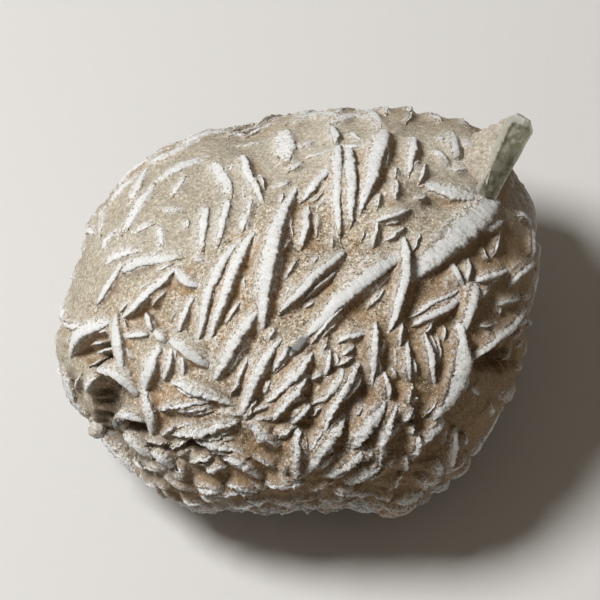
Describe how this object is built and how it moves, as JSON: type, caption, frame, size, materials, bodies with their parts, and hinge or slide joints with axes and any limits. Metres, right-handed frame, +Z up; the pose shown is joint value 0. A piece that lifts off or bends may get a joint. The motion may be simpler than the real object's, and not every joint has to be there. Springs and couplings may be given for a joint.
{
  "type": "gypsum sand rose",
  "caption": "Palm-sized desert rose: a plump sandy nodule covered in gypsum blades standing edge up, with a clear stub crystal on one shoulder and a flat foot to rest on.",
  "frame": {"origin": "on the ground under the middle of the rose's bounding box", "axes": "+X along the longest side, towards the shoulder with the clear stub crystal; +Y away from the face with the large blades; +Z up"},
  "size_m": [0.0802, 0.074, 0.0492],
  "materials": {
    "sandy_gypsum": "matt, sandy, with chalk-white blade edges"
  },
  "bodies": {
    "root": {"sand_rose": "sandy_gypsum"}
  },
  "joints": []
}
